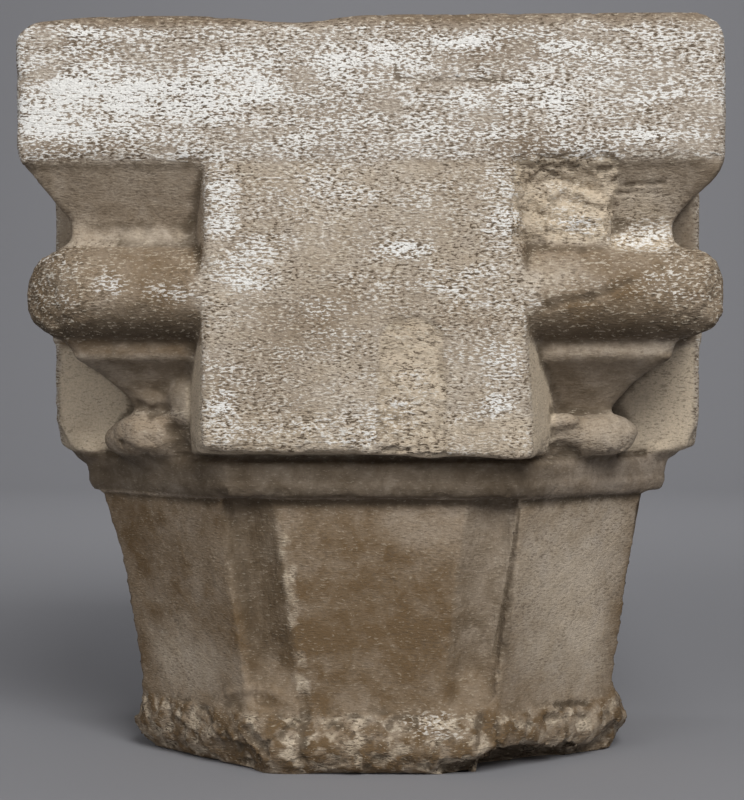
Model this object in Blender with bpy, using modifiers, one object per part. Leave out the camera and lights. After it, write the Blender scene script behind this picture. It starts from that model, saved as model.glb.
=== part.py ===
"""Stone capital with a square abacus, four plain blocks, moulded corners and a fluted octagonal bell.

Metres, +Z up. The origin is the centre of the lower bed, and the front is the side at -Y.
Every height is its own value, and the levels are added up from the lower bed.
"""

import math

import bmesh
import bpy
from mathutils import Matrix, Vector

# Plan sizes, each the distance from the capital's axis to a flat face.
ABACUS_REACH = 0.160
ROLL_REACH = 0.1585
FILLET_REACH = 0.1400
CAVETTO_REACH = 0.1380
SCOTIA_REACH = 0.1110
LOWER_ROLL_REACH = 0.1245
SEAT_REACH = 0.1400
NECK_TOP_REACH = 0.1460
NECK_FOOT_REACH = 0.1390
BELL_TOP_REACH = 0.1335
BELL_FOOT_REACH = 0.1175
BASE_ROLL_REACH = 0.1270
BED_REACH = 0.1180

# How much further out the octagonal stages' diagonal faces stand than their main faces.
NECK_DIAGONAL_EXTRA = 0.0050
BELL_TOP_DIAGONAL_EXTRA = 0.0085
BELL_FOOT_DIAGONAL_EXTRA = 0.0053

# Heights of the stages, from the top down.
ABACUS_HEIGHT = 0.0660
CAVETTO_HEIGHT = 0.0375
ROLL_HEIGHT = 0.0430
FILLET_HEIGHT = 0.0085
SCOTIA_HEIGHT = 0.0260
LOWER_ROLL_HEIGHT = 0.0190
SEAT_HEIGHT = 0.0030  # the lower roll's foot is half-way up the seat
NECK_HEIGHT = 0.0175
BELL_HEIGHT = 0.1040
BASE_ROLL_HEIGHT = 0.0260
BED_LIP = 0.0010

# The plain block in the middle of each side. Its cheeks splay out towards the core.
BLOCK_HALF_WIDTH = 0.0700
BLOCK_CHEEK_SPLAY = 0.30  # sideways growth of a cheek for each metre inwards
FRONT_BLOCK_LEFT = 0.0730
FRONT_BLOCK_RIGHT = 0.0650
FRONT_BLOCK_FOOT_FLARE = 0.0090
BLOCK_REBATE = 0.0004  # how far a block's face stands behind the abacus's face
BLOCK_ROOT_REACH = 0.0950

# Worn arrises.
ABACUS_ARRIS = 0.0050
BLOCK_ARRIS = 0.0030

# Corner work.
ROLL_CHAMFER = 0.0130
FRONT_LEFT_ROLL_CHAMFER = 0.0280
LOWER_ROLL_CHAMFER = 0.0140
CAVETTO_LIP = 0.0060  # how far the lip stands out from the cavetto's waist

# Flutes along the bell's eight arrises: how far one reaches from its arris over each face.
FLUTE_HEAD_ON_MAIN = 0.0222
FLUTE_HEAD_ON_DIAGONAL = 0.0028
FLUTE_FOOT_ON_MAIN = 0.0235
FLUTE_FOOT_ON_DIAGONAL = 0.0012
FLUTE_RADIUS = 0.0145
FLUTE_END_LENGTH = 0.0065  # height of the rounded end at a flute's foot
FLUTE_LEAN = 0.80  # sideways shift of a flute's bottom, towards the diagonal face, for each metre of depth
FLUTE_STOP = 0.0030  # solid stone left between a flute's foot and the base roll

# The rough stump left standing in the cavetto beside the front block.
STUMP_WIDTH = 0.0450
STUMP_INSET_TOP = 0.0070
STUMP_INSET_FOOT = 0.0130

SQUARE_SIDES = 4
OCTAGON_SIDES = 8
FRONT_LEFT = 2  # number of the corner between -X and -Y, counted from +X +Y
CURVE_STEPS = 7
FLUTE_STEPS = 32
OVERLAP = 0.0060  # how far one stage runs into the next inside the stone

# Levels above the lower bed.
BASE_ROLL_FOOT = BED_LIP
BASE_ROLL_TOP = BASE_ROLL_FOOT + BASE_ROLL_HEIGHT
BELL_TOP = BASE_ROLL_TOP + BELL_HEIGHT
NECK_TOP = BELL_TOP + NECK_HEIGHT
BLOCK_FOOT = NECK_TOP + SEAT_HEIGHT
LOWER_ROLL_FOOT = NECK_TOP + SEAT_HEIGHT / 2
LOWER_ROLL_TOP = LOWER_ROLL_FOOT + LOWER_ROLL_HEIGHT
SCOTIA_TOP = LOWER_ROLL_TOP + SCOTIA_HEIGHT
FILLET_TOP = SCOTIA_TOP + FILLET_HEIGHT
ROLL_TOP = FILLET_TOP + ROLL_HEIGHT
CAVETTO_TOP = ROLL_TOP + CAVETTO_HEIGHT
TOP = CAVETTO_TOP + ABACUS_HEIGHT

# Breaks: bearing round the axis (0 is the front, positive towards +X) in degrees, height above
# the bed, how deep the break bites and how wide the biting ball is.
BASE_ROLL_BREAKS = (
    (-33.0, 0.004, 0.0100, 0.034),
    (-12.0, 0.000, 0.0050, 0.024),
    (9.0, 0.024, 0.0040, 0.026),
    (27.0, 0.002, 0.0065, 0.030),
    (62.0, 0.003, 0.0080, 0.032),
    (-78.0, 0.004, 0.0065, 0.030),
    (118.0, 0.004, 0.0075, 0.034),
    (165.0, 0.022, 0.0050, 0.028),
    (-140.0, 0.003, 0.0085, 0.034),
)


# Knocked-off lower corners of the side blocks: block number, the biting ball's centre and radius.
BLOCK_BREAKS = (
    (3, (-0.171, -0.072, 0.149), 0.020),
    (1, (0.173, -0.072, 0.150), 0.020),
)


def link(mesh, name, collection):
    """A new object for this mesh in this collection."""
    obj = bpy.data.objects.new(name, mesh)
    collection.objects.link(obj)
    return obj


def mesh_object(bm, name, collection):
    """A new object holding what this bmesh holds."""
    mesh = bpy.data.meshes.new(name)
    bm.to_mesh(mesh)
    bm.free()
    return link(mesh, name, collection)


def hollow(start, bend, end, steps=CURVE_STEPS):
    """Points of a hollow curve from start to end, pulled towards bend. The start is left out."""
    a, b, c = Vector(start), Vector(bend), Vector(end)
    shares = [step / steps for step in range(1, steps + 1)]
    return [tuple(a * (1 - t) ** 2 + b * (2 * t * (1 - t)) + c * t**2) for t in shares]


def roll(reach, top, foot, steps=CURVE_STEPS):
    """Points of a half-round roll from its crown to its foot, in profile."""
    radius = (top - foot) / 2
    angles = [math.pi / 2 - math.pi * step / (2 * steps) for step in range(2 * steps + 1)]
    middle = top - radius
    return [(reach - radius + radius * math.cos(a), middle + radius * math.sin(a)) for a in angles]


def many_sided(profile, sides, name, collection, turned=0.0):
    """A solid made by turning a profile of (reach, height) points, which runs from top to bottom.

    Reach is the distance from the axis to a flat side. A flat side faces the front, or stands at
    the angle turned from it.
    """
    corner = math.pi / sides
    rows = [(0.0, profile[0][1]), *profile, (0.0, profile[-1][1])]
    bm = bmesh.new()
    turn = Matrix.Rotation(corner + turned, 4, "Z")
    verts = [bm.verts.new(turn @ Vector((reach / math.cos(corner), 0.0, z))) for reach, z in rows]
    for upper, lower in zip(verts, verts[1:]):
        bm.edges.new((upper, lower))
    obj = mesh_object(bm, name, collection)
    screw = obj.modifiers.new("Turn", "SCREW")
    screw.axis = "Z"
    screw.steps = screw.render_steps = sides
    screw.use_merge_vertices = True
    screw.merge_threshold = 0.0001
    return obj


def bevelled(obj, width, segments=2):
    """Rounds the object's arrises."""
    bevel = obj.modifiers.new("Arris", "BEVEL")
    bevel.width = width
    bevel.segments = segments
    bevel.limit_method = "ANGLE"
    return obj


def combine(target, other, operation):
    """Joins another solid to the target, or cuts it away."""
    boolean = target.modifiers.new(other.name, "BOOLEAN")
    boolean.operation = operation
    boolean.solver = "EXACT"
    boolean.object = other


def ball(name, centre, radii, collection, turn=None):
    """A squashed ball, used for lumps and broken hollows."""
    bm = bmesh.new()
    bmesh.ops.create_uvsphere(bm, u_segments=20, v_segments=12, radius=1.0)
    turn = turn or Matrix.Identity(4)
    place = Matrix.Translation(centre) @ turn @ Matrix.Diagonal((*radii, 1.0))
    bmesh.ops.transform(bm, matrix=place, verts=bm.verts)
    return mesh_object(bm, name, collection)


def eight_sided(main, diagonal, name, collection, shapes):
    """A square stage whose corners are struck off by a turned one, as a mason makes an octagon."""
    body = many_sided(main, SQUARE_SIDES, name, collection)
    cutter = many_sided(diagonal, SQUARE_SIDES, f"{name}_diagonals", shapes, math.radians(45))
    combine(body, cutter, "INTERSECT")
    return body


def make_abacus(collection):
    """The square slab on top, with worn arrises."""
    bm = bmesh.new()
    bmesh.ops.create_cube(bm, size=1.0)
    size = Matrix.Diagonal((2 * ABACUS_REACH, 2 * ABACUS_REACH, ABACUS_HEIGHT, 1.0))
    lift = Matrix.Translation((0.0, 0.0, TOP - ABACUS_HEIGHT / 2))
    bmesh.ops.transform(bm, matrix=lift @ size, verts=bm.verts)
    return bevelled(mesh_object(bm, "abacus_slab", collection), ABACUS_ARRIS)


def make_cavetto(collection):
    """The hollow under the abacus, which turns out again in a thin lip on the roll."""
    waist = ROLL_TOP + CAVETTO_HEIGHT * 0.27
    lip = ROLL_TOP - ROLL_HEIGHT * 0.04
    start = (ABACUS_REACH - 0.4 * ABACUS_ARRIS, CAVETTO_TOP)
    profile = [(start[0], CAVETTO_TOP + OVERLAP), start]
    bend_reach = CAVETTO_REACH + 0.45 * (start[0] - CAVETTO_REACH)
    bend = (bend_reach, CAVETTO_TOP - CAVETTO_HEIGHT * 0.37)
    profile += hollow(start, bend, (CAVETTO_REACH, waist))
    lip_reach = CAVETTO_REACH + CAVETTO_LIP
    profile += hollow((CAVETTO_REACH, waist), (CAVETTO_REACH, lip), (lip_reach, lip), 4)
    profile.append((lip_reach, ROLL_TOP - ROLL_HEIGHT / 2))
    return many_sided(profile, SQUARE_SIDES, "cavetto", collection)


def corner_cutter(name, index, reach, chamfer, middle, height, collection):
    """A cube that strikes off one corner of a square moulding."""
    turn = Matrix.Rotation(math.radians(45 + 90 * index), 4, "Z")
    face = reach * math.sqrt(2) - chamfer / math.sqrt(2)
    side = 2 * (height + chamfer)
    bm = bmesh.new()
    bmesh.ops.create_cube(bm, size=side)
    shift = Matrix.Translation((face + side / 2, 0.0, middle))
    bmesh.ops.transform(bm, matrix=turn @ shift, verts=bm.verts)
    return mesh_object(bm, name, collection)


def make_roll(collection):
    """The big half-round roll. Its corners are struck off, the front left one furthest."""
    body = many_sided(roll(ROLL_REACH, ROLL_TOP, FILLET_TOP), SQUARE_SIDES, "roll", collection)
    chamfers = [ROLL_CHAMFER] * SQUARE_SIDES
    chamfers[FRONT_LEFT] = FRONT_LEFT_ROLL_CHAMFER
    middle = (ROLL_TOP + FILLET_TOP) / 2
    for index, chamfer in enumerate(chamfers):
        shape = (ROLL_REACH, chamfer, middle, ROLL_HEIGHT)
        cutter = corner_cutter(f"roll_corner_cut_{index + 1}", index, *shape, collection)
        combine(body, cutter, "DIFFERENCE")
    return body


def make_scotia(collection):
    """The fillet under the roll, the hollow below it and the core that runs down into the lower roll."""
    slope = FILLET_REACH - 0.0020
    head = FILLET_TOP + 0.3 * ROLL_HEIGHT
    profile = [(FILLET_REACH, head), (FILLET_REACH, FILLET_TOP), (slope, SCOTIA_TOP)]
    bend = (SCOTIA_REACH + 0.38 * (slope - SCOTIA_REACH), SCOTIA_TOP - 0.31 * SCOTIA_HEIGHT)
    profile += hollow(profile[-1], bend, (SCOTIA_REACH, LOWER_ROLL_TOP))
    profile.append((SCOTIA_REACH, (LOWER_ROLL_TOP + LOWER_ROLL_FOOT) / 2))
    return many_sided(profile, SQUARE_SIDES, "scotia", collection)


def make_lower_roll(collection):
    """The small roll under the scotia. It shows as a blunt lobe on each corner, between the blocks."""
    profile = roll(LOWER_ROLL_REACH, LOWER_ROLL_TOP, LOWER_ROLL_FOOT)
    body = many_sided(profile, SQUARE_SIDES, "lower_roll", collection)
    middle = (LOWER_ROLL_TOP + LOWER_ROLL_FOOT) / 2
    shape = (LOWER_ROLL_REACH, LOWER_ROLL_CHAMFER, middle, LOWER_ROLL_HEIGHT)
    for index in range(SQUARE_SIDES):
        cutter = corner_cutter(f"lower_roll_corner_cut_{index + 1}", index, *shape, collection)
        combine(body, cutter, "DIFFERENCE")
    return body


def make_block(index, left, right, foot_flare, collection):
    """A plain block, flush with the abacus, on side number index. Left and right are seen from outside."""
    face = ABACUS_REACH - BLOCK_REBATE
    depth = face - BLOCK_ROOT_REACH
    splay = BLOCK_CHEEK_SPLAY * depth
    top = CAVETTO_TOP + 2 * OVERLAP
    bm = bmesh.new()
    bmesh.ops.create_cube(bm, size=2.0)
    for vert in bm.verts:
        outer, upper, on_left = vert.co.y < 0, vert.co.z > 0, vert.co.x < 0
        reach = left if on_left else right
        reach += 0.0 if outer else splay
        reach += 0.0 if upper else foot_flare * (0.3 if on_left else 1.0)
        inset = face if outer else BLOCK_ROOT_REACH
        vert.co = (-reach if on_left else reach, -inset, top if upper else BLOCK_FOOT)
    turn = Matrix.Rotation(math.radians(90 * index), 4, "Z")
    bmesh.ops.transform(bm, matrix=turn, verts=bm.verts)
    return bevelled(mesh_object(bm, f"block_{index + 1}", collection), BLOCK_ARRIS)


def make_neck(collection, shapes):
    """The octagonal band between the blocks and the bell, with the sunk seat that carries the blocks."""
    swell = NECK_FOOT_REACH + 0.75 * (NECK_TOP_REACH - NECK_FOOT_REACH)
    profile = [
        (SEAT_REACH, BLOCK_FOOT + OVERLAP),
        (SEAT_REACH, NECK_TOP),
        (NECK_TOP_REACH, NECK_TOP - 0.0005),
        (swell, BELL_TOP + 0.5 * NECK_HEIGHT),
        (NECK_FOOT_REACH, BELL_TOP + 0.12 * NECK_HEIGHT),
        (NECK_FOOT_REACH - 0.0015, BELL_TOP),
    ]
    diagonal = [(reach + NECK_DIAGONAL_EXTRA, height) for reach, height in profile]
    diagonal = [(diagonal[0][0], diagonal[0][1] + OVERLAP), *diagonal]
    diagonal.append((diagonal[-1][0], diagonal[-1][1] - OVERLAP))
    return eight_sided(profile, diagonal, "neck", collection, shapes)


def bell_reach(height):
    """Distance from the axis to the bell's flat face at this height, before its foot turns out."""
    share = (height - BASE_ROLL_TOP) / BELL_HEIGHT
    return BELL_FOOT_REACH + (BELL_TOP_REACH - BELL_FOOT_REACH) * share


def bell_extra(height):
    """How much further out the bell's diagonal faces stand at this height."""
    share = max((height - BASE_ROLL_TOP) / BELL_HEIGHT, 0.0)
    return BELL_FOOT_DIAGONAL_EXTRA + (BELL_TOP_DIAGONAL_EXTRA - BELL_FOOT_DIAGONAL_EXTRA) * share


def make_bell(collection):
    """The tapering octagon, with a foot that turns out onto the base roll."""
    turn_out = BASE_ROLL_TOP + 0.13 * BELL_HEIGHT
    foot_reach = BELL_FOOT_REACH + 0.5 * (BASE_ROLL_REACH - BELL_FOOT_REACH)
    start = (bell_reach(turn_out), turn_out)
    profile = [(BELL_TOP_REACH, BELL_TOP + OVERLAP), (BELL_TOP_REACH, BELL_TOP), start]
    bend = (bell_reach(BASE_ROLL_TOP), BASE_ROLL_TOP)
    profile += hollow(start, bend, (foot_reach, BASE_ROLL_TOP - 0.001), 4)
    profile.append((foot_reach, BASE_ROLL_TOP - BASE_ROLL_HEIGHT / 2))
    diagonal = [(reach + bell_extra(height), height) for reach, height in profile]
    diagonal = [(diagonal[0][0], diagonal[0][1] + OVERLAP), *diagonal]
    diagonal.append((diagonal[-1][0], diagonal[-1][1] - OVERLAP))
    return eight_sided(profile, diagonal, "bell", collection, collection)


def make_base_roll(collection):
    """The octagonal roll at the bottom, with the flat lower bed under it."""
    profile = roll(BASE_ROLL_REACH, BASE_ROLL_TOP, BASE_ROLL_FOOT)[:-2]
    profile += [(BED_REACH, BASE_ROLL_FOOT), (BED_REACH, 0.0)]
    return many_sided(profile, OCTAGON_SIDES, "base_roll", collection)


def flute_section(side, hand, height):
    """A flute's centre at this height, the unit vector towards its diagonal face and the outward one.

    Side is the number of the main face that the flute borders, and hand is the end of that face.
    """
    share = (height - BASE_ROLL_TOP) / BELL_HEIGHT
    over_main = FLUTE_FOOT_ON_MAIN + share * (FLUTE_HEAD_ON_MAIN - FLUTE_FOOT_ON_MAIN)
    over_diagonal = FLUTE_FOOT_ON_DIAGONAL + share * (FLUTE_HEAD_ON_DIAGONAL - FLUTE_FOOT_ON_DIAGONAL)
    reach = bell_reach(height)
    arris = Vector((reach, hand * ((reach + bell_extra(height)) * math.sqrt(2) - reach)))
    on_main = arris - Vector((0.0, hand * over_main))
    on_diagonal = arris + over_diagonal * Vector((-1.0, hand)).normalized()
    chord = on_diagonal - on_main
    sideways = chord.normalized()
    outward = Vector((-sideways.y, sideways.x)) * -hand
    rise = math.sqrt(FLUTE_RADIUS**2 - chord.length_squared / 4)
    centre = (on_main + on_diagonal) / 2 + rise * (outward - FLUTE_LEAN * sideways)
    turn = Matrix.Rotation(math.radians(90 * side), 4, "Z")
    return [turn @ Vector(parts) for parts in ((*centre, height), (*sideways, 0.0), (*outward, 0.0))]


def make_flute_cutter(side, hand, collection):
    """A round-ended rod that cuts one flute. It leans, so the wall by the diagonal face is steep."""
    foot, _, _ = flute_section(side, hand, BASE_ROLL_TOP + FLUTE_STOP + FLUTE_END_LENGTH)
    head, sideways, outward = flute_section(side, hand, BELL_TOP + 2 * OVERLAP)
    bm = bmesh.new()
    bmesh.ops.create_uvsphere(bm, u_segments=FLUTE_STEPS, v_segments=FLUTE_STEPS // 2, radius=FLUTE_RADIUS)
    for vert in bm.verts:
        if vert.co.z > -0.001 * FLUTE_RADIUS:
            vert.co.z += (head - foot).length
        else:
            vert.co.z *= FLUTE_END_LENGTH / FLUTE_RADIUS
    columns = (sideways, outward - FLUTE_LEAN * sideways, (head - foot).normalized())
    lean = Matrix(columns).transposed().to_4x4()
    bmesh.ops.transform(bm, matrix=Matrix.Translation(foot) @ lean, verts=bm.verts)
    bmesh.ops.recalc_face_normals(bm, faces=bm.faces)
    return mesh_object(bm, f"flute_cutter_{side + 1}{'left' if hand < 0 else 'right'}", collection)


def make_break(index, bearing, height, bite, radius, collection):
    """A ball that breaks a piece out of the base roll."""
    angle = math.radians(bearing - 90)
    off_face = math.radians((bearing + 22.5) % 45 - 22.5)
    surface = BASE_ROLL_REACH / math.cos(off_face)
    reach = surface - bite + radius
    centre = (reach * math.cos(angle), reach * math.sin(angle), height)
    turn = Matrix.Rotation(angle, 4, "Z")
    return ball(f"base_break_{index + 1}", centre, (radius, radius, 0.6 * radius), collection, turn)


def make_broken_stump(collection):
    """The rough stump left in the cavetto, against the right cheek of the front block."""
    lip = ROLL_TOP - ROLL_HEIGHT * 0.02
    bm = bmesh.new()
    bmesh.ops.create_cube(bm, size=2.0)
    for vert in bm.verts:
        outer, upper, on_left = vert.co.y < 0, vert.co.z > 0, vert.co.x < 0
        inset = STUMP_INSET_TOP if upper else STUMP_INSET_FOOT
        vert.co.x = FRONT_BLOCK_RIGHT - OVERLAP if on_left else FRONT_BLOCK_RIGHT + STUMP_WIDTH
        vert.co.y = inset - ABACUS_REACH if outer else 2 * OVERLAP - CAVETTO_REACH
        vert.co.z = CAVETTO_TOP + 1.5 * OVERLAP if upper else lip
    return bevelled(mesh_object(bm, "broken_stump", collection), BLOCK_ARRIS)


def make_left_lump(collection):
    """The uncut lump beside the left cheek of the front block, over the lower roll."""
    middle = (-(FRONT_BLOCK_LEFT + 0.013), -SCOTIA_REACH - 0.004, LOWER_ROLL_TOP - 0.001)
    return ball("left_lump", middle, (0.010, 0.012, LOWER_ROLL_HEIGHT), collection)


def stone():
    """Weathered limestone."""
    material = bpy.data.materials.new("limestone")
    material.use_nodes = True
    shader = material.node_tree.nodes["Principled BSDF"]
    shader.inputs["Base Color"].default_value = (0.36, 0.30, 0.25, 1.0)
    shader.inputs["Roughness"].default_value = 0.85
    shader.inputs["Metallic"].default_value = 0.0
    return material


def main():
    for old in list(bpy.data.objects):
        bpy.data.objects.remove(old, do_unlink=True)
    part = bpy.data.collections.new("stone_capital")
    shapes = bpy.data.collections.new("stone_capital_shapes")
    for collection in (part, shapes):
        bpy.context.scene.collection.children.link(collection)

    bell = make_bell(shapes)
    for side in range(SQUARE_SIDES):
        for hand in (-1, 1):
            combine(bell, make_flute_cutter(side, hand, shapes), "DIFFERENCE")
    base = make_base_roll(shapes)
    for index, spot in enumerate(BASE_ROLL_BREAKS):
        combine(base, make_break(index, *spot, shapes), "DIFFERENCE")

    joined = [base, bell, make_lower_roll(shapes), make_scotia(shapes)]
    joined += [make_cavetto(shapes), make_roll(shapes)]
    blocks = [make_block(0, FRONT_BLOCK_LEFT, FRONT_BLOCK_RIGHT, FRONT_BLOCK_FOOT_FLARE, shapes)]
    for side in range(1, SQUARE_SIDES):
        blocks.append(make_block(side, BLOCK_HALF_WIDTH, BLOCK_HALF_WIDTH, 0.0, shapes))
    for side, centre, radius in BLOCK_BREAKS:
        cutter = ball(f"block_break_{side + 1}", centre, (radius,) * 3, shapes)
        combine(blocks[side], cutter, "DIFFERENCE")
    joined += blocks
    joined += [make_broken_stump(shapes), make_left_lump(shapes), make_abacus(shapes)]

    capital = make_neck(part, shapes)
    capital.name = "capital"
    for shape in joined:
        combine(capital, shape, "UNION")
    capital.data.materials.append(stone())

    for helper in shapes.objects:
        helper.hide_render = True
        helper.display_type = "WIRE"


main()
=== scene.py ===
# %% [markdown]
# # A weathered stone capital
# A capital is the head of a column. This one is carved from a single block of limestone: a square
# slab on top, four plain blocks under it with mouldings between them, a narrow band, and an
# eight-sided bell with hollow flutes that ends in a broken roll. The carved solid comes in as a
# fixed frame. This notebook turns it into old stone: worn arrises, breaks, tool marks, dust and
# patina. Everything is in metres, and the front of the capital faces -Y.

# %% Load the carved solid
import math

import bpy
import numpy as np
from mathutils import Euler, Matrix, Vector, noise


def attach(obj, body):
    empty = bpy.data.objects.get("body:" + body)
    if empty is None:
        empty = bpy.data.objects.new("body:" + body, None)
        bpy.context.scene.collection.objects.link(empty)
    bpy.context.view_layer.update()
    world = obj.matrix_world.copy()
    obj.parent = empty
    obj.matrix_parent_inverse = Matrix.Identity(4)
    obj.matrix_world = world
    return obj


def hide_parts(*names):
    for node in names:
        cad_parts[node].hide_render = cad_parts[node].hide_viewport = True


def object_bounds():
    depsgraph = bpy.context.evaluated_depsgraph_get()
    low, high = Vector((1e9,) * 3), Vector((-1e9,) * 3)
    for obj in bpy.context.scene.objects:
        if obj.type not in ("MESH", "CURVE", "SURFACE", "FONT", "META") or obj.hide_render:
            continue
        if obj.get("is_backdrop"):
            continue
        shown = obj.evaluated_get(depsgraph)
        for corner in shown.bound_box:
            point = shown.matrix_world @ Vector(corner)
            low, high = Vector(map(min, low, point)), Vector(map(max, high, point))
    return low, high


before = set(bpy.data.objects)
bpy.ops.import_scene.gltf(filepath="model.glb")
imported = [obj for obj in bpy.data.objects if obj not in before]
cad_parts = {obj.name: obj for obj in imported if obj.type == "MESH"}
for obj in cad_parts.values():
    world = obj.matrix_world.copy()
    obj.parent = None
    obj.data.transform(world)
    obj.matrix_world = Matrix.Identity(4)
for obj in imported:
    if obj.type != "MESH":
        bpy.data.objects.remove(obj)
cad_low, cad_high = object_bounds()
print("carved solid from", tuple(cad_low), "to", tuple(cad_high))

# %% [markdown]
# ## Working like a hand at the bench
# Every operator acts on what is selected, and the frame arrives selected. So each step first
# picks the one object that it works on. A second helper applies a modifier at once, because the
# next step sculpts the points that the modifier makes.

# %% Pick an object, apply a modifier
def pick(obj):
    """Makes this the only selected object and the active one."""
    bpy.ops.object.select_all(action="DESELECT")
    obj.select_set(True)
    bpy.context.view_layer.objects.active = obj


def apply_modifier(obj, kind, **settings):
    """Adds a modifier of this kind, sets it up and applies it."""
    pick(obj)
    modifier = obj.modifiers.new(kind.title(), kind)
    for name, value in settings.items():
        setattr(modifier, name, value)
    bpy.ops.object.modifier_apply(modifier=modifier.name)


# %% [markdown]
# ## The blank
# The mason's block already has its profiles, so the blank is a copy of the carved solid. The
# solid arrives as loose triangles. They are merged into one skin, because a remesh needs a closed
# surface. Modelling the block again from cubes would give the same planes, with two sets of
# sizes to keep equal.

# %% Copy the carved solid
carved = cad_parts["capital"]
stone = bpy.data.objects.new("weathered_capital", carved.data.copy())
bpy.context.scene.collection.objects.link(stone)
pick(stone)
bpy.ops.object.mode_set(mode="EDIT")
bpy.ops.mesh.select_all(action="SELECT")
bpy.ops.mesh.remove_doubles(threshold=0.000002)
bpy.ops.mesh.customdata_custom_splitnormals_clear()
bpy.ops.object.mode_set(mode="OBJECT")
print("blank:", len(stone.data.vertices), "points")

# %% [markdown]
# ## Lumps that the chisel left
# Beside the front block the mason didn't clear the corners: a smooth bulb is left at lower left,
# and flatter ones near it and at lower right. The hollow flutes die out above the foot, and the
# side blocks' lower corners melt into the stone under them. Such places are balls, added where
# they sit, pulled out of round and pushed into the stone. They could be joined with a Boolean,
# but the next step melts everything together anyway, so they are simply joined to the blank's
# mesh.

# %% Add the lumps
def add_lump(centre, radii, turn):
    """Adds a squashed ball, in millimetres and degrees, and joins it to the blank."""
    bpy.ops.object.select_all(action="DESELECT")
    place = [value / 1000 for value in centre]
    bpy.ops.mesh.primitive_ico_sphere_add(subdivisions=4, radius=0.001, location=place)
    ball = bpy.context.object
    bpy.ops.transform.resize(value=radii)
    ball.rotation_euler.z = math.radians(turn)
    pick(stone)
    ball.select_set(True)
    bpy.ops.object.join()


LUMPS = [
    # the bulb at lower left, the knob beside it and the swelling under both
    ((-87, -120, 174), (9.5, 12, 14), 20), ((-104, -113, 176.5), (9, 8, 8.5), 0),
    ((-110, -98, 157), (22, 18, 12), -35),
    # the two at lower right
    ((112, -108, 161), (15, 13, 6.5), 30), ((90, -124, 166.5), (8, 6, 4), 0),
    # the feet of the two front flutes
    ((-42, -110.5, 22), (15, 8, 46), -15), ((46, -110, 12), (14, 8, 46), 15),
    # under the side blocks
    ((-139, -45, 151), (16, 34, 9.5), 0), ((138, -45, 152), (16, 34, 8), 0),
]
for centre, radii, turn in LUMPS:
    add_lump(centre, radii, turn)
print("with lumps:", len(stone.data.vertices), "points")

# %% [markdown]
# ## One even skin
# Worn stone has no faces or edges, only a surface. A voxel remesh lays an even net of small
# squares over everything and melts the lumps in. Subdividing the blank instead would give long
# thin faces beside small ones, and those don't sculpt well.

# %% Remesh
GRID = 0.0013
apply_modifier(stone, "REMESH", mode="VOXEL", voxel_size=GRID, adaptivity=0.0)
print("skin:", len(stone.data.vertices), "points")

# %% [markdown]
# ## The surface as arrays
# A sculptor's brush moves points. Here the same is done in code, on arrays of all the points at
# once, in millimetres. `grain` gives smooth noise with lumps of a chosen size, turned off the
# axes so that its cells don't line up with the faces. `ease` is a soft threshold, and `relax`
# shows where the surface would be if it were sanded smooth. The heights at which one form of the
# capital ends and the next starts are named here, because many steps ask for them.

# %% Arrays and brushes
mesh = stone.data
count = len(mesh.vertices)
points = np.empty(count * 3)
mesh.vertices.foreach_get("co", points)
points = points.reshape(-1, 3) * 1000
edges = np.empty(len(mesh.edges) * 2, dtype=np.int32)
mesh.edges.foreach_get("vertices", edges)
edges = edges.reshape(-1, 2)
degree = np.bincount(edges.ravel(), minlength=count)[:, None]
BASE_TOP, BELL_TOP, BLOCK_FOOT, SLAB_FOOT, TOP = 28, 131, 150, 283.5, 350
HALF_WIDTH = 160


def outward():
    """The unit normal at every point, after writing the points back to the mesh."""
    mesh.vertices.foreach_set("co", (points / 1000).ravel())
    mesh.update()
    normals = np.empty(count * 3)
    mesh.vertex_normals.foreach_get("vector", normals)
    return normals.reshape(-1, 3)


def ease(value, low, high):
    """0 below low, 1 above high, and a smooth slope between them."""
    share = np.clip((value - low) / (high - low), 0, 1)
    return share * share * (3 - 2 * share)


def between(value, low, high, soft=1.0):
    """1 between two values, falling softly to 0 outside them."""
    return ease(value, low - soft, low + soft) * (1 - ease(value, high - soft, high + soft))


SLANT = np.array(Euler((0.6, 0.9, 0.35)).to_matrix())


def grain(where, size, octaves=1, seed=0.0):
    """Smooth noise from about -1 to 1, with lumps about this many millimetres apart."""
    scaled = (where @ SLANT / size + seed).tolist()
    if octaves == 1:
        return np.array([noise.noise(place) for place in scaled])
    return np.array([noise.fractal(place, 1.0, 2.0, octaves) for place in scaled])


def relax(where, rounds):
    """The points after each has moved to the middle of its neighbours this many times."""
    for _ in range(rounds):
        total = np.empty_like(where)
        for axis in range(3):
            total[:, axis] = np.bincount(edges[:, 0], where[edges[:, 1], axis], count)
            total[:, axis] += np.bincount(edges[:, 1], where[edges[:, 0], axis], count)
        where = total / degree
    return where


# %% [markdown]
# ## Corners of the slab
# The slab's ends are worn round at the top, and its front arris dips at the left end and a
# little left of the middle. Points outside a quarter circle are pulled in onto it, all along the
# arris. A bevel would do the same on a clean box, but here it has to act on the finished skin.

# %% Round the slab
def round_arris(across, up, radius):
    """How far to pull points in onto a quarter circle. The arris is where both distances are 0."""
    right, top = radius - across, radius - up
    distance = np.hypot(right, top)
    outside = (right > 0) & (top > 0) & (distance > radius)
    shrink = np.where(outside, 1 - radius / np.maximum(distance, 1e-6), 0.0)
    return right * shrink, top * shrink


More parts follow.
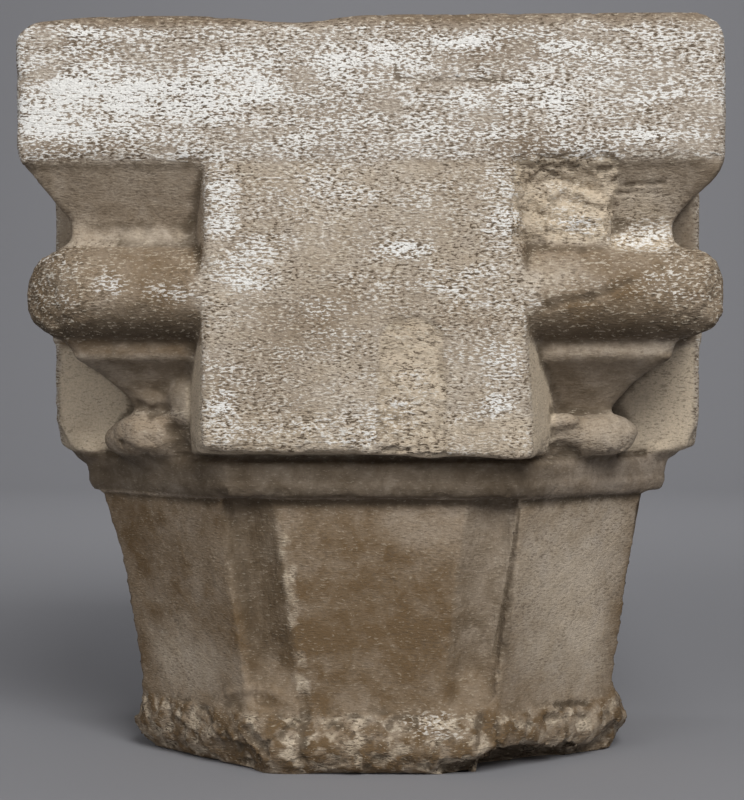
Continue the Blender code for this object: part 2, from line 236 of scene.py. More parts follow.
ARRIS_RADII = ((0, -1, 15.0), (0, 1, 17.0), (1, -1, 5.5), (1, 1, 6.0))
points = relax(points, 3)
wave = grain(points * (1, 1, 0), 34, 3, 5.0)
dip = 3.2 * np.exp(-((points[:, 0] + 37) / 24)**2) + 3.0 * np.exp(-((points[:, 0] + 165) / 28)**2)
dip *= ease(-points[:, 1], 60, 150) * ease(points[:, 2], 335, TOP)
points[:, 2] -= dip
for axis, sign, radius in ARRIS_RADII:
    sideways = HALF_WIDTH - sign * points[:, axis]
    inward, down = round_arris(sideways, TOP - dip - points[:, 2], radius + 2.4 * wave)
    points[:, axis] -= sign * inward
    points[:, 2] -= down
upper_part = points[:, 2] > SLAB_FOOT - 0.5
for side_x in (-1, 1):
    for side_y in (-1, 1):
        across = HALF_WIDTH - side_x * points[:, 0]
        back = HALF_WIDTH - side_y * points[:, 1]
        inward, deeper = round_arris(across, back, 3.0 + 1.6 * wave)
        points[:, 0] -= side_x * inward * upper_part
        points[:, 1] -= side_y * deeper * upper_part

# %% [markdown]
# ## Where the mason's hand slipped
# Nothing on the stone is quite true. The narrow band under the blocks is fuller at its foot than
# at its top, and the big roll bulges at its ends. The slab's lower right corner droops, the bell
# flares at its head on the left, and the foot under it is drawn in. The front block's lower edge
# slopes and waves. All of these are moves of a few millimetres. Cutting them into the blank would
# take a new profile for each, and here a soft mask and one number do it.

# %% Lean the band, fill the roll's ends
plan = np.hypot(points[:, 0], points[:, 1])
lean = np.interp(points[:, 2], (129.5, 131, 132.5, 136, 139.5, 145), (0, 3, 3.3, 2.1, -1, -1.6))
lean *= between(points[:, 2], BELL_TOP - 1, BLOCK_FOOT + 0.5, 0.6) * (plan > 110)
points[:, :2] *= (1 + lean / np.maximum(plan, 1))[:, None]
roll = between(points[:, 2], 205, 246, 3)
points[:, 0] += 4.0 * roll * (ease(points[:, 0], 120, 152) - ease(-points[:, 0], 110, 150))
print("the band leans by up to", round(float(np.ptp(lean)), 1), "mm")

# %% Droop, flare and waves
droop = 5.0 * ease(points[:, 0], 135, 158) * between(points[:, 2], 268, 300, 12)
points[:, 2] -= droop
bell_head = ease(points[:, 2], 90, BELL_TOP) * (1 - ease(points[:, 2], BELL_TOP - 1, BELL_TOP + 1))
points[:, 0] -= 4.2 * bell_head * ease(-points[:, 0], 70, 118)
block_foot = ease(-points[:, 1], 146, 148) * ease(points[:, 2], BLOCK_FOOT - 1, BLOCK_FOOT + 0.5)
block_foot *= 1 - ease(points[:, 2], 152, 170)
points[:, 2] -= block_foot * (0.022 * points[:, 0] + 1.2 * grain(points, 22, 2, 17.0))
left_foot = (1 - ease(points[:, 2], 24, 34)) * ease(-points[:, 0], 60, 118)
points[:, 0] += 3.5 * left_foot

# %% [markdown]
# ## Rubbed soft
# At three places the chisel left no edge at all: at both sides of the front block's foot, and at
# the big roll's left end. The points there move to where sanding would put them, fully in the
# middle of the place and not at all at its rim.

# %% Soften three corners
SOFT_CORNERS = [
    # middle, how far it reaches, rounds of sanding
    ((-104, -104, 158), 34, 30), ((106, -112, 158), 28, 8), ((-145, -145, 225), 44, 45),
]
for corner_middle, size, rounds in SOFT_CORNERS:
    closeness = 1 - ease(np.linalg.norm(points - corner_middle, axis=1), 0.4 * size, size)
    points += closeness[:, None] * (relax(points, rounds) - points)

# %% [markdown]
# ## Breaks
# When stone breaks, a shell-shaped piece flies off and leaves a hollow with a rough floor. `bite`
# does that: the points inside an uneven ball are pushed out to its far side. Smaller breaks are
# `facets`: space is cut into cells, and each cell's part of the surface gets its own small tilt
# and depth, as the grains of broken stone do. A Boolean with many balls would be slower and
# leave sharp seams.

# %% Bite and facets
broken = np.zeros(count)


def bite(centre, radius, rough=0.3, flat=1.0, seed=0.0):
    """Breaks an uneven ball out of the stone. flat below 1 makes the ball lower than wide."""
    stretch = np.array([1.0, 1.0, 1 / flat])
    offset = (points - centre) * stretch
    distance = np.linalg.norm(offset, axis=1)
    near = np.flatnonzero(distance < radius * (1 + 1.5 * rough))
    if not len(near):
        return
    reach = radius * (1 + rough * grain(points[near], radius * 0.8, 4, seed))
    growth = np.maximum(reach / distance[near], 1.0)
    points[near] = centre + offset[near] * growth[:, None] / stretch
    broken[near] = np.maximum(broken[near], ease(growth, 1.0, 1.05))


def facets(chosen, size, seed=0.0):
    """About -1 to 1 on tilted cells of this size, for the chosen points, and 0 elsewhere."""
    result = np.zeros(count)
    for index, place in zip(chosen, (points[chosen] / size + seed).tolist()):
        middle = noise.voronoi(place)[1][0]
        tilt = noise.cell_vector(middle * 31) - Vector((0.5, 0.5, 0.5))
        result[index] = tilt.x + 2.4 * tilt.dot(Vector(place) - middle)
    return result


def foot_bite(bearing, height, depth, radius, flat, seed):
    """Breaks a piece out of the roll at the foot. Bearing 0 is the front and 90 is +X, in degrees."""
    angle = math.radians(bearing - 90)
    off_face = math.radians((bearing + 22.5) % 45 - 22.5)
    reach = 127 / math.cos(off_face) - depth + radius
    bite((reach * math.cos(angle), reach * math.sin(angle), height), radius, 0.3, flat, seed)


# %% Break the roll at the foot
FOOT_BREAKS = [
    # bearing, height, depth, radius, flatness, seed
    (-25, 17, 5.5, 24, 0.7, 1), (-42, -3, 6, 26, 0.5, 2), (4, 4, 3.5, 26, 0.5, 4),
    # the recess under the right half of the rim
    (12, -2, 8, 22, 0.4, 13), (22, -1, 20, 24, 0.42, 5), (33, -1, 27, 30, 0.42, 6),
    (45, -1, 26, 28, 0.42, 7), (57, 0, 14, 22, 0.5, 8),
    # small ones on the rim and at the sides
    (22, 20, 3.5, 18, 0.7, 9), (-58, -1, 8, 22, 0.6, 10), (-76, 6, 5, 20, 0.7, 11),
    (72, 6, 5, 18, 0.7, 12),
]
BACK_BREAKS = 15
for settings in FOOT_BREAKS:
    foot_bite(*settings)
chance = np.random.default_rng(11)
for number in range(BACK_BREAKS):
    bearing = 92 + 176 * (number + chance.uniform(-0.4, 0.4)) / BACK_BREAKS
    height, depth, radius = chance.uniform(-3, 14), chance.uniform(3, 10), chance.uniform(18, 28)
    foot_bite(bearing, height, depth, radius, 0.6, 60 + number)

# %% Chip the corners
CHIPS = [
    # centre, radius, flatness: four along the front block's foot
    (-77, -165, 148, 8, 0.9), (66, -165.5, 148, 7, 0.8), (36, -167, 147, 8, 0.6),
    (-20, -167, 147, 8, 0.5),
    # five down the arrises of the bell
    (-47, -137, 113, 7, 0.8), (-40, -131, 78, 6, 0.8), (-37, -127, 50, 6, 1.0),
    (58, -122, 48, 5, 0.8), (36, -128, 44, 7, 0.9),
    # four on the slab, and one beside the front block
    (-162, -162, 287, 6, 0.7), (-120, -167, 352, 11, 0.6), (128, -167, 353, 11, 0.6),
    (30, -168, 354, 11, 0.6), (88, -131, 152, 8, 0.8),
]
for number, (across, back, up, radius, flat) in enumerate(CHIPS):
    bite((across, back, up), radius, 0.4, flat, 140 + number)
print("broken points:", int((broken > 0.5).sum()))

# %% [markdown]
# ## Wear along the arrises
# Edges wear first. The difference between the surface and its sanded copy is large where an
# arris stands proud, so the stone moves towards that copy there, by an amount that noise makes
# uneven: a slight rounding everywhere, and deeper chips in places. The outer edge of the bell's
# left flute is worn most: it is hardly an edge any more.

# %% Round and chip the arrises
normals = outward()
sanded = relax(points, 20)
proud = np.einsum("ij,ij->i", points - sanded, normals)
chipped = ease(grain(points, 11, 3, 4.1) + 0.35 * grain(points, 4, 2, 9.3), 0.16, 0.55)
soft_wear = 0.16 + 0.16 * grain(points, 30, 2, 2.0) + 0.4 * (points[:, 2] < 27)
bell_side = between(points[:, 2], 32, 128) * ease(np.abs(points[:, 0]), 80, 90)
strength = np.clip(soft_wear + (0.95 - 0.85 * bell_side) * chipped, 0, 1.2) * ease(proud, 0.02, 0.25)
ridge = points[:, 0] + np.interp(points[:, 2], (60, 127), (58, 69))
soft_ridge = between(ridge, -3, 3, 1.5) * between(points[:, 2], 30, 124, 4) * ease(-points[:, 1], 60, 80)
strength = np.maximum(strength, 0.9 * soft_ridge)
points += strength[:, None] * (sanded - points)
print("largest wear:", round(float((strength * np.abs(proud)).max()), 2), "mm")

# %% [markdown]
# ## Marks that belong to one place
# The arch-shaped scar on the front block, its rough lower edge, the broken stump in the right
# hollow, scratches, cracks and the low rim at the foot of the left flute: each is a mask over the
# front view, in millimetres right of the axis and above the bed. A line is drawn as a stroke:
# every point's distance from it is measured in that view, and the stone is pressed in where that
# distance is small, or raised where the depth is below 0.

# %% Masks and strokes on the front
x, y, z = points.T
normals = outward()
facing = ease(-normals[:, 1], 0.1, 0.4) * ease(-y, 60, 75)
flat_front = ease(-y, 154, 157)
ragged = 2.4 * grain(points, 8, 3, 3.3)

crown = 199 + 15 * np.sqrt(np.clip(1 - ((x - 19.5) / 16)**2, 0, 1))
scar = flat_front * between(x + 0.6 * ragged, 4.5, 34.5, 1.0) * ease(crown - z + 0.8 * ragged, -1.2, 1.2)
band = flat_front * (1 - ease(z + 1.6 * ragged + 0.03 * x, 166, 180)) * between(x, -78, 78, 2)
stump = facing * between(x + 0.3 * ragged, 65, 112, 0.8) * between(z, 248, 285, 1.5) * ease(-y, 138, 143)
ledge = facing * between(x + ragged, 108, 137, 2) * between(z + 0.5 * ragged, 244, 252, 1.5)


def stroke(start, end, width):
    """1 along a line over the front view, falling to 0 sideways."""
    start, end = np.array(start), np.array(end)
    line = end - start
    flat = points[:, (0, 2)] - start
    share = np.clip(flat @ line / (line @ line), 0, 1)
    off = flat - share[:, None] * line
    distance = np.hypot(off[:, 0], off[:, 1]) + 0.25 * width * ragged
    return facing * np.exp(-((distance / width)**2))


STROKES = [
    # start, end, width, depth: scratches on the slab and the front block
    ((13, 319.8), (64, 319.2), 1.6, 0.8), ((13, 322), (12.5, 327), 1.5, 0.8),
    ((-70, 218), (-38, 218.8), 0.9, 0.4),
    # the crack along the right roll, and cuts in the hollow above it
    ((80, 218), (99, 221.6), 1.8, 1.1), ((99, 221.6), (117, 229.6), 1.8, 1.1),
    ((114, 273), (133, 274), 1.2, 0.9), ((112, 269.5), (130, 270), 1.0, 0.6),
    # notches in the foot, and in the knob at lower left
    ((-32, 36), (-32, 7), 3.0, 2.4), ((51, 29), (49.5, 14), 1.7, 2.2),
    ((-119.8, 176), (-118, 169.5), 1.7, 1.5), ((-111, 173.5), (-104, 170.5), 1.8, 1.8),
    ((-104, 170.5), (-96, 172), 1.8, 1.8), ((-119, 155), (-107, 149.5), 1.8, 1.4),
    # splits in the broken stump
    ((70, 262), (86, 258), 1.3, 1.5), ((84, 276), (104, 270), 1.3, 1.6),
    ((80, 252), (108, 254), 1.3, 1.2), ((88, 266), (110, 262), 1.2, 1.2),
    ((71, 250), (78, 247), 2.6, 2.6),
    # the deep pockets beside the front block's foot
    ((-92, 162), (-87, 153), 4.5, 3.0), ((84, 154), (95, 152), 3.5, 2.5),
    # the raised rim at the foot of the left flute
    ((-76, 29), (-67, 37), 2.2, -0.9), ((-67, 37), (-57, 40), 2.2, -1.0),
    ((-57, 40), (-46, 38), 2.2, -1.0), ((-46, 38), (-34, 31), 2.2, -0.9),
    # two level cuts on the right of the foot
    ((88, 29), (112, 27), 1.3, 1.2), ((84, 24), (104, 21), 1.3, 1.2),
]

# %% Carve the marks
rough = grain(points, 6.5, 3, 5.0)
fine_rough = grain(points, 3.0, 2, 8.0)
foot = 1 - ease(z + 2 * grain(points, 9, 2, 7.0), BASE_TOP - 2, BASE_TOP + 2)
foot *= ease(z, 0.5, 3.5)
roll_ends = between(z, 203, 247, 2) * ease(np.minimum(np.abs(x), np.abs(y)), 120, 134)
chosen = np.flatnonzero(np.maximum.reduce([foot, stump, roll_ends, broken]) > 0.02)
coarse, small = facets(chosen, 17, 2.0), facets(chosen, 7, 5.0)
depth = scar * (1.2 + 0.6 * rough + 0.8 * fine_rough) + band * (0.3 + 0.5 * rough + 0.6 * fine_rough)
depth += stump * (1.0 + 1.4 * coarse + 1.3 * small + 0.8 * fine_rough) + ledge * (0.3 + 0.6 * rough)
depth += foot * (0.5 + 1.4 * coarse + 0.6 * small + 0.5 * rough + 0.3 * fine_rough)
depth += roll_ends * (0.2 + 0.3 * coarse + 0.35 * small + 0.4 * fine_rough)
for start, end, width, amount in STROKES:
    depth += amount * stroke(start, end, width)
points -= depth[:, None] * normals
print("deepest mark:", round(float(depth.max()), 1), "mm")

# %% [markdown]
# ## The right flute's steep wall
# The right flute was cut steeper on the side away from the middle, so that wall lies in shadow.
# Its points are pushed back, most beside the hollow and not at all at the arris.

# %% Steepen the wall
wall_left = np.interp(z, (54, 127), (56.6, 68.7))
wall_right = np.interp(z, (54, 130), (64.1, 69.6))
wall = between(x, wall_left, wall_right, 0.5) * between(z, 54, 127, 3) * ease(-y, 60, 80)
steep = np.clip((wall_right - x) / (wall_right - wall_left), 0, 1)
points[:, 1] += 2.6 * wall * steep

# %% [markdown]
# ## Small falls and rises all over
# No hand-cut face is flat. A broad swell of half a millimetre and finer lumps go over the whole
# stone. The upper and lower beds stay level, because the stone stands on one and carries its
# load on the other. Nothing may stand outside the carved solid's box, so the points are clipped
# to it.

# %% Uneven surface
normals = outward()
x, y, z = points.T
beds = ease(z, 0.3, 2.5) * (1 - ease(z, TOP - 2.5, TOP - 0.3))
swell = 0.45 * grain(points, 45, 2, 3.0) + 0.22 * grain(points, 12, 2, 6.6)
fine = 0.16 * grain(points, 4.2, 2, 1.7)
points -= (beds * (0.22 + swell + fine))[:, None] * normals
low, high = np.array(cad_low) * 1000, np.array(cad_high) * 1000
points = np.clip(points, low, high)
normals = outward()
x, y, z = points.T
print("surface from", points.min(axis=0).round(2), "to", points.max(axis=0).round(2), "mm")

# %% [markdown]
# ## What the surface remembers
# Colour follows history, and in places it stands in for light. Dirt and painted shade darken the hollows,
# the undersides and the places that lie in shadow, a red-brown patina covers the bell and the rolls, lime
# has dried on the slab in level streaks, and fresh breaks are pale. Painted light makes the bell's right
# facet, the right flute and the right cheek lighter. Each is worked out while the net is dense and stored
# on the points for the material. A painted image could do the same, but it would need the skin unwrapped
# flat.

# %% Helpers for marks
def store(name, values):
    """Keeps one number for each point, for the material to read."""
    layer = mesh.attributes.new(name, "FLOAT", "POINT")
    layer.data.foreach_set("value", np.clip(values, 0, 1).astype(np.float32))


def spot(across, up, half_width, half_height):
    """A soft oval over the front view."""
    distance = np.hypot((x - across) / half_width, (z - up) / half_height)
    return (1 - ease(distance, 0.1, 1.2)) * ease(-y, 60, 75)


# %% Hollows and the zones of the capital
near_relief = np.einsum("ij,ij->i", points - relax(points, 12), normals)
wide_relief = np.einsum("ij,ij->i", points - relax(points, 70), normals)
reach = np.maximum(np.abs(x), np.abs(y))
hollow_reach = np.interp(z, (150, 172, 176, 186, 199, 203), (119, 113, 115.6, 124.5, 139, 143))
slab = ease(z, SLAB_FOOT - 2.5, SLAB_FOOT + 2.5)
aside = np.minimum(np.abs(x), np.abs(y))
block = ease(reach, 155.5, 157.5) * (1 - slab) * ease(z, BLOCK_FOOT - 2, BLOCK_FOOT + 1)
block *= 1 - ease(aside, 76, 80)
corner = (1 - slab) * (1 - block) * ease(z, BLOCK_FOOT - 1, BLOCK_FOOT + 1)
cheek = corner * (1 - ease(z, 200, 204)) * ease(reach - hollow_reach, 2.0, 4.5) * (1 - ease(aside, 84, 88))
cavetto = corner * ease(z, 247, 250)
big_roll = corner * between(z, 204, 247, 1.5) * ease(reach, 138, 142)
scotia = corner * between(z, 171, 197, 1.5) * (1 - cheek)
fillet = corner * between(z, 197, 204, 0.8) * (1 - cheek)
low_corner = corner * (1 - cheek) * (1 - ease(z, 168, 171))
neck = between(z, BELL_TOP, BLOCK_FOOT, 0.6)
bell = (1 - ease(z, BELL_TOP - 1.5, BELL_TOP + 0.5)) * ease(z, BASE_TOP - 2, BASE_TOP + 2)
foot = 1 - ease(z, BASE_TOP - 2, BASE_TOP + 2)
main_arris = np.interp(z, (35, 127), (33, 44))
flute_edge = np.interp(z, (60, 127), (58, 70))
flute = bell * between(np.abs(x), main_arris, flute_edge, 1.2) * ease(-y, 60, 80) * ease(z, 38, 66)
under = ease(-normals[:, 2], -0.05, 0.8) * ease(z, 40, 60)
left, right = x < 0, x > 0

# %% Worn edge, spalls and slow noise
left_edge = -np.interp(z, (27, 131), (32.7, 45.1))
pale_arris = between(x + 0.5 * ragged, left_edge - 1, left_edge + 5.5, 0.8) * between(z, 38, 124, 3)
pale_arris *= ease(grain(points, 9, 2, 21.0), -0.15, 0.3) * ease(-y, 60, 80)
spall = foot * ease(small, 0.2, 0.4)
slow = grain(points, 38, 3, 12.0)
quick = grain(points, 14, 3, 15.0)

# %% Breaks, dirt and painted shade
fresh = np.maximum.reduce([0.8 * scar, 0.6 * band, stump, ledge, 0.45 * broken])
# Painted shade: darker in creases and hollows, where the surface lies below its sanded copy.
dirt_and_painted_shade = np.maximum(0.8 * ease(-near_relief, 0.1, 0.6), 0.4 * ease(-wide_relief, 1.0, 4.0))
dirt_and_painted_shade *= 1 - 0.8 * fresh
flute_foot = between(z, 30, 66, 6) * between(np.abs(x), 28, 68, 3) * ease(-y, 60, 80)
dirt_and_painted_shade *= (1 - 0.7 * flute_foot) * (1 - 0.6 * spot(-88, 176, 10, 13))
# Painted shade: a dark colour where the stone lies in shadow. It goes under the rolls and on the other
# undersides, in the scotia, and on the flute walls that face away from the light (the left flute more). It
# also goes on the right flute's steep wall, beside the left flute's worn outer edge, in a line under the
# slab, and over the band under the blocks (less at its lit right end). Three recesses beside the front
# block's foot get it too.
in_shade = [
    (0.2 + (0.6 + 0.12 * left) * big_roll) * under * (1 - fresh), 0.5 * scotia,
    0.58 * flute * left, 0.34 * flute * right, 0.62 * wall, 0.5 * soft_ridge * ease(z, 60, 110),
    0.6 * corner * between(z, 280, 286, 1.2), neck * (0.78 - 0.62 * ease(x, 60, 110)),
    0.45 * spot(-104, 175, 10, 9) * corner, 0.75 * spot(-89, 155, 11, 10) * corner,
    0.8 * spot(90, 153, 11, 6) * corner,
]
dirt_and_painted_shade = np.maximum.reduce([dirt_and_painted_shade] + in_shade)
store("dirt_and_painted_shade", dirt_and_painted_shade)

# %% Patina and painted light
patina_and_painted_light = 0.1 * slab + 0.5 * ease(z, 342, 347) + 0.17 * block + 0.37 * cavetto + 0.68 * big_roll
patina_and_painted_light += (0.75 - 0.55 * right) * fillet + 0.35 * scotia + 0.76 * bell + 0.62 * foot + 0.45 * neck
# Painted light: the right flute gets less patina, so its walls, which face the light, come out lighter.
patina_and_painted_light += (0.3 + 0.2 * left) * low_corner + 0.05 * cheek * left - 0.18 * flute * right
patina_and_painted_light += 0.15 * slow + 0.12 * quick + 0.12 * scar - 0.6 * pale_arris
patina_and_painted_light += 0.4 * foot * ease(-small, 0.05, 0.3) - 0.45 * spall
anywhere = np.ones(count)
STAINS = [
    # zone, across, up, half width, half height, amount: above 0 is browner, below 0 cleaner
    # Painted light: the third row makes the bell's right facet, which faces the light, much lighter.
    (bell, -2, 82, 50, 66, 0.25), (bell, -2, 46, 34, 18, -0.16), (bell, 100, 85, 44, 82, -0.66),
    (bell, 20, 118, 26, 14, -0.35), (bell, -95, 48, 34, 24, -0.45),
    (foot, -60, 16, 16, 12, 0.25), (foot, 10, 12, 30, 12, 0.3), (anywhere, 95, 12, 40, 18, -0.2),
    (corner, -87, 176, 10, 14, -0.4), (anywhere, -100, 251, 40, 6, -0.3),
    (anywhere, 122, 262, 24, 24, -0.42), (anywhere, 85, 232, 22, 12, -0.4),
    (block, -25, 214, 34, 22, 0.32), (block, 46, 212, 24, 20, 0.25), (block, -52, 186, 36, 40, 0.14),
    # on the slab
    (anywhere, 60, 332, 26, 10, 0.3), (anywhere, 52, 296, 26, 9, 0.2),
    (anywhere, -112, 291, 36, 5, 0.3), (anywhere, 85, 290, 34, 7, 0.25),
    (anywhere, -125, 335, 26, 6, 0.45), (anywhere, -141, 288, 18, 6, 0.5),
    (anywhere, 90, 333, 20, 9, 0.4), (anywhere, 72, 290, 20, 10, 0.35),
]
for zone, across, up, half_width, half_height, amount in STAINS:
    patina_and_painted_light += amount * zone * spot(across, up, half_width, half_height)
store("patina_and_painted_light", patina_and_painted_light * (1 - 0.65 * fresh))

# %% Lime
LIME = [
    # across, up, half width, half height, amount: on the slab
    (-140, 306, 40, 22, 1.0), (-112, 312, 70, 26, 0.9), (-132, 341, 24, 5, 0.8),
    (-66, 318, 56, 30, 0.8), (0, 326, 70, 22, 0.6), (70, 312, 62, 12, 0.8),
    (131, 316, 32, 30, 0.58), (95, 333, 44, 12, 0.55), (128, 296, 44, 12, 0.6),
    (40, 337, 30, 7, 0.75),
    # on the front block
    (-66, 268, 14, 36, 0.7), (19, 244, 26, 7, 0.65), (-20, 270, 50, 28, 0.42),
    (58, 262, 18, 40, 0.5), (44, 226, 44, 24, 0.5), (-55, 236, 28, 22, 0.6),
    (20, 180, 24, 22, 0.55), (60, 186, 18, 36, 0.5), (-66, 170, 14, 22, 0.55),
    (0, 165, 80, 18, 0.45),
    # on the rolls, in the right hollow and at the foot
    (-118, 229, 13, 12, 0.5), (-86, 225, 24, 7, 0.5), (133, 226, 26, 22, 0.35),
    (95, 228, 40, 12, 0.25), (124, 252, 26, 12, 0.6), (92, 255, 24, 8, 0.5),
    (88, 266, 24, 20, 0.3), (31, 24, 26, 11, 0.36),
]
streaky = grain(points * (1, 1, 4.5), 26, 3, 19.0)
lime = np.maximum(0.42 * slab + 0.26 * block + 0.15 * big_roll, 0.25 * roll_ends)
lime = np.maximum(lime, 0.1 * pale_arris)
for across, up, half_width, half_height, amount in LIME:
    lime = np.maximum(lime, amount * spot(across, up, half_width, half_height))
back_side = 1 - ease(-y, 100, 130)
lime = np.maximum(lime, back_side * slab * (0.45 + 0.4 * slow)) * (1 - 0.35 * scar)
top_strip = ease(z + 3.5 * quick, 343, 346) * ease(-y, 100, 130)
lime *= (1 + 0.25 * quick + 0.55 * streaky) * (1 - 0.75 * dirt_and_painted_shade) * (1 - 0.8 * top_strip)
store("lime", lime)

# %% Bare warm stone, painted light and calm places
warm_and_painted_light = np.maximum.reduce([
    # Painted light: the right cheek and the bell's right facet get more of the pale warm colour because
    # they face the light.
    (1.0 + 0.15 * right) * cheek, 0.42 * (corner + bell + foot), 0.28 * block, 0.9 * fresh,
    0.9 * spall, 0.9 * pale_arris, 0.5 * roll_ends, 0.5 * spot(95, 85, 40, 62) * bell,
    0.6 * cavetto * spot(122, 262, 22, 22), 0.8 * spot(31, 46, 3.5, 8), 0.8 * spot(62, 22, 16, 10),
])
store("warm_and_painted_light", warm_and_painted_light)
smooth = np.maximum.reduce([
    scotia, fillet, neck, 0.8 * cheek, 0.75 * bell, 0.8 * cavetto, 0.4 * foot, 0.4 * big_roll,
    0.65 * low_corner,
])
rough_again = [fresh, roll_ends, pale_arris, spall, 0.8 * spot(122, 262, 24, 22)]
smooth *= 1 - np.maximum.reduce(rough_again)
store("grainy", 1 - 0.8 * smooth)
store("tooled", flute)

# %% [markdown]
# ## A lighter net
# The dense net has far more faces than a print or a game can use. Decimate removes most where
# the surface is calm. A vertex group favours the front, which is seen most. Its weights stay
# below 1 and its factor is tiny: a point of weight 1 is locked, and with the whole front locked
# the back would be stripped to a few big faces. The thinned points are then put back inside the
# carved solid's box, which a collapse can leave by a few hundredths of a millimetre.

# %% Thin the net
TRIANGLES = 192_000
STEPS = 4
group = stone.vertex_groups.new(name="keep")
importance = ease(-normals[:, 1] + 0.35 * np.abs(normals[:, 0]), -0.3, 0.4) * ease(-y, -60, 60)
for level in range(STEPS + 1):
    chosen = np.flatnonzero(np.round(importance * STEPS).astype(int) == level)
    group.add(chosen.tolist(), 0.2 * level, "REPLACE")
faces_now = 2 * len(mesh.polygons)
settings = {"ratio": TRIANGLES / faces_now, "vertex_group": "keep", "invert_vertex_group": True}
settings["vertex_group_factor"] = 0.0001
apply_modifier(stone, "DECIMATE", use_collapse_triangulate=True, **settings)
stone.vertex_groups.clear()
print("net:", faces_now, "->", len(stone.data.polygons), "triangles")

# %% Put the thinned points back inside the box
mesh = stone.data
net = np.empty(len(mesh.vertices) * 3)
mesh.vertices.foreach_get("co", net)
net = np.clip(net.reshape(-1, 3), low / 1000, high / 1000)
mesh.vertices.foreach_set("co", net.ravel())
mesh.update()
facing_front = sum(face.normal.y < -0.5 for face in mesh.polygons)
in_back_half = sum(face.center.y > 0 for face in mesh.polygons)
print(facing_front, "triangles face the front, and", in_back_half, "are in the back half")

# %% Shade it smooth
pick(stone)
bpy.ops.object.shade_smooth()
mesh.materials.clear()

# %% [markdown]
# ## Shader maths in plain Python
# A material is a graph of nodes. Drawing it link by link hides the idea, so one small class wraps
# a socket and gives it arithmetic, and one method adds any node from its type, its settings and
# its inputs.

# %% A graph that reads like a formula
class Wire:
    """One output socket that Python's arithmetic works on."""

    def __init__(self, graph, socket):
        self.graph, self.socket = graph, socket

    def calculate(self, operation, *values):
        return self.graph.add("ShaderNodeMath", {"operation": operation}, dict(enumerate(values)))

    def __add__(self, other):
        return self.calculate("ADD", self, other)

    def __sub__(self, other):
        return self.calculate("SUBTRACT", self, other)

    def __rsub__(self, other):
        return self.calculate("SUBTRACT", other, self)

    def __mul__(self, other):
        return self.calculate("MULTIPLY", self, other)

    __radd__, __rmul__ = __add__, __mul__


class Graph:
    """A material's nodes."""

    def __init__(self, name):
        self.material = bpy.data.materials.new(name)
        self.material.use_nodes = True
        self.tree = self.material.node_tree
        self.shader = self.tree.nodes["Principled BSDF"]

    def add(self, kind, settings, inputs, output=0):
        """Adds a node, sets it up, feeds its inputs and returns one of its outputs."""
        node = self.tree.nodes.new(kind)
        for name, value in settings.items():
            setattr(node, name, value)
        for name, value in inputs.items():
            self.feed(node.inputs[name], value)
        return Wire(self, node.outputs[output])

    def feed(self, socket, value):
        if isinstance(value, Wire):
            self.tree.links.new(value.socket, socket)
        else:
            socket.default_value = value

    def mark(self, name):
        return self.add("ShaderNodeAttribute", {"attribute_name": name}, {}, "Fac")

    def noise(self, place, scale, detail=3.0, rough=0.55, warp=0.0):
        """Noise from 0 to 1. Scale is in lumps for each metre."""
        inputs = {"Vector": place, "Scale": scale, "Detail": detail, "Roughness": rough, "Distortion": warp}
        return self.add("ShaderNodeTexNoise", {}, inputs, "Fac")

    def step(self, value, low, high, start=0.0, end=1.0, smooth=True):
        """A soft threshold: start below low, end above high."""
        inputs = {"Value": value, "From Min": low, "From Max": high, "To Min": start, "To Max": end}
        kind = "SMOOTHSTEP" if smooth else "LINEAR"
        return self.add("ShaderNodeMapRange", {"interpolation_type": kind}, inputs)

    def mix(self, share, first, second, blend="MIX"):
        """Mixes two colours. Colours are given as three numbers or as a wire."""
        settings = {"data_type": "RGBA", "blend_type": blend, "clamp_factor": True}
        inputs = {0: share, 6: opaque(first), 7: opaque(second)}
        return self.add("ShaderNodeMix", settings, inputs, 2)

    def scaled(self, place, factors):
        """The place with each axis multiplied, which stretches a pattern."""
        return self.add("ShaderNodeVectorMath", {"operation": "MULTIPLY"}, {0: place, 1: factors})


def opaque(colour):
    """Adds alpha to three numbers, and leaves a wire alone."""
    return colour if isinstance(colour, Wire) else (*colour, 1.0)


# %% [markdown]
# ## Limestone
# The clean stone is a warm grey-beige. Over it lie the layers stored above: pale bare stone with painted
# light, patina with painted light, dirt with painted shade, and lime. A mask alone would look airbrushed,
# so each one is broken up by noise: the noise decides where in the masked area the layer is present, and
# the mask how much of it.
# Lime sits on the stone's grains in short level strokes, so its noise is squeezed upwards, and
# calmer patches keep the speckle from being the same all over.

# %% Noise at the sizes that the stone shows
limestone = Graph("limestone")
place = limestone.add("ShaderNodeTexCoord", {}, {}, "Object")
turn = {"Vector": place, "Rotation": (0.6, 0.9, 0.35)}
slanted = limestone.add("ShaderNodeVectorRotate", {"rotation_type": "EULER_XYZ"}, turn)
lime, patina_and_painted_light, dirt_and_painted_shade = (limestone.mark(name) for name in ("lime", "patina_and_painted_light", "dirt_and_painted_shade"))
warm_and_painted_light, grainy, tooled = (limestone.mark(name) for name in ("warm_and_painted_light", "grainy", "tooled"))

clouds = limestone.noise(slanted, 26, 5, 0.6, 0.3)
blotches = limestone.noise(slanted, 95, 5, 0.68, 0.4)
pits = limestone.noise(limestone.scaled(place, (420, 420, 1150)), 1.0, 2, 0.6, 0.3)
streaks = limestone.noise(limestone.scaled(place, (55, 55, 520)), 1.0, 3, 0.6, 0.4)
calm = limestone.step(limestone.noise(slanted, 45, 3), 0.38, 0.62, 0.45, 1.2)
dust = limestone.noise(place, 1100, 1, 0.5)
tooling = limestone.noise(limestone.scaled(place, (420, 420, 14)), 1.0, 3, 0.6)


